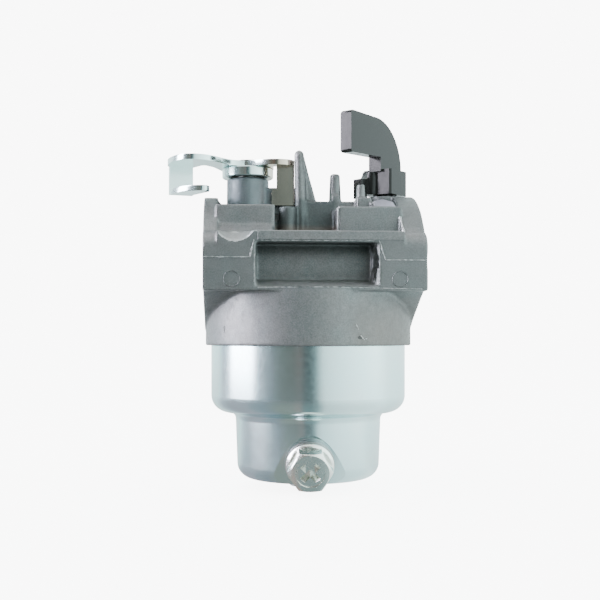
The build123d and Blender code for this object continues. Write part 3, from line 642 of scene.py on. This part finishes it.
def flat_sheet(name, height, material):
    bpy.ops.mesh.primitive_plane_add(size=FLOOR_SIZE, location=(bowl_axis.x, 0, height))
    sheet = bpy.context.object
    sheet.name = name
    sheet.data.materials.append(material)
    return sheet


def glowing(name, color, glow):
    """A material that gives white light of its own."""
    material, shader = new_material(name, color, 0.0, 1.0)
    shader.inputs["Emission Color"].default_value = (1, 1, 1, 1)
    shader.inputs["Emission Strength"].default_value = glow
    return material


def make_floor():
    """Pale floor that the camera sees, another that the other rays see, and a plain backdrop."""
    seen = flat_sheet("floor", ground_z - 0.02 * MM, glowing("floor_white", (0.9, 0.9, 0.9), 7.0))
    stage_only(seen, camera=True, others=False)
    lit_white = new_material("floor_plain", (0.85, 0.85, 0.85), 0.0, 1.0)[0]
    giving = flat_sheet("floor_giving_light", ground_z - 0.06 * MM, lit_white)
    stage_only(giving, camera=False, others=True)
    bpy.ops.mesh.primitive_uv_sphere_add(radius=BACKDROP_RADIUS, segments=48, ring_count=24,
                                         location=(bowl_axis.x, 0, 0))
    backdrop = bpy.context.object
    backdrop.name = "backdrop"
    backdrop.data.materials.append(glowing("backdrop_white", (0, 0, 0), 9.0))
    stage_only(backdrop, camera=True, others=False)


TINTS = {
    "cool": (0.84, 1.0, 1.01), "blue": (0.88, 0.96, 1.1), "lavender": (1.0, 0.96, 1.1),
    "olive": (1.0, 1.03, 0.94), "pink": (1.25, 1.0, 0.94), "teal": (0.68, 1.0, 1.04),
}
# The studio round the object: azimuth (0 in front, 90 to the right), tint, level above and below
PANELS = (
    (-180, "cool", 1.3, 1.0), (-165, "cool", 2.6, 1.9), (-132, "cool", 2.5, 1.8),
    (-118, "blue", 0.9, 0.9), (-106, "blue", 1.8, 0.6), (-101, "lavender", 25, 0.5),
    (-72, "lavender", 25, 0.5), (-66, "blue", 1.2, 0.4), (-50, "blue", 0.42, 0.25),
    (-34, "olive", 0.2, 0.18), (-20, "olive", 0.17, 0.17), (-15, "pink", 0.2, 0.2),
    (-11, "pink", 0.2, 0.2), (-9, "teal", 0.1, 0.1), (1, "teal", 0.1, 0.1), (6, "teal", 0.5, 0.5),
    (12, "cool", 2.0, 1.8), (40, "cool", 3.0, 2.6), (80, "cool", 4.4, 3.2), (100, "cool", 3.0, 2.6),
    (140, "cool", 2.7, 2.3), (165, "cool", 2.6, 2.2), (180, "cool", 1.3, 1.0),
)
# Rings from under the object out to the top of the panels: reach, height above the floor, share of
# the level above, share of the level below, and a level that is the same all round
PANEL_RINGS = (
    (0.002, 0.0001, 0, 0.6, 0.25), (0.03, 0.0001, 0, 0.6, 0.25), (0.06, 0.0001, 0, 0.75, 0.12),
    (0.12, 0.0001, 0, 0.9, 0), (0.45, 0.0001, 0, 1, 0), (0.45, 0.012, 1, 0, 0), (0.45, 0.55, 1, 0, 0),
)


def make_panels():
    """Ring of softly lit and dark panels, and their light on the floor, that only reflections see."""
    work = bmesh.new()
    layer = work.verts.layers.float_color.new("tone")
    columns = []
    for (a0, t0, *start), (a1, t1, *end) in zip(PANELS, PANELS[1:]):
        count = max(1, round((a1 - a0) / PANEL_STEP))
        for i in range(count):
            share = i / count
            tint = Vector(TINTS[t0]).lerp(Vector(TINTS[t1]), share)
            columns.append((a0 + (a1 - a0) * share, tint, Vector(start).lerp(Vector(end), share)))
    rings = []
    for azimuth, tint, levels in columns:
        a = math.radians(azimuth)
        side = Vector((math.sin(a), -math.cos(a), 0))
        ring = []
        for reach, height, above, below, even in PANEL_RINGS:
            vertex = work.verts.new(Vector((bowl_axis.x, 0, ground_z + height)) + side * reach)
            vertex[layer] = (*(tint * (levels[0] * above + levels[1] * below + even)), 1)
            ring.append(vertex)
        rings.append(ring)
    for one, two in zip(rings, rings[1:] + rings[:1]):
        for i in range(len(PANEL_RINGS) - 1):
            work.faces.new((one[i], two[i], two[i + 1], one[i + 1]))
    mesh = bpy.data.meshes.new("panels")
    work.to_mesh(mesh)
    work.free()
    material, shader = new_material("panel_light", (0, 0, 0), 0.0, 1.0)
    tree = material.node_tree
    tone = tree.nodes.new("ShaderNodeAttribute")
    tone.attribute_name = "tone"
    tree.links.new(tone.outputs["Color"], shader.inputs["Emission Color"])
    shader.inputs["Emission Strength"].default_value = 1.0
    mesh.materials.append(material)
    panels = bpy.data.objects.new("panels", mesh)
    bpy.context.scene.collection.objects.link(panels)
    stage_only(panels, camera=False, others=True)
    panels.visible_diffuse = False


def make_sky():
    """Even pale light from all round."""
    world = bpy.data.worlds.new("studio")
    world.use_nodes = True
    sky = world.node_tree.nodes["Background"]
    sky.inputs["Color"].default_value = (0.96, 1.0, 1.0, 1)
    sky.inputs["Strength"].default_value = 2.3
    bpy.context.scene.world = world


make_floor()
make_sky()
make_panels()
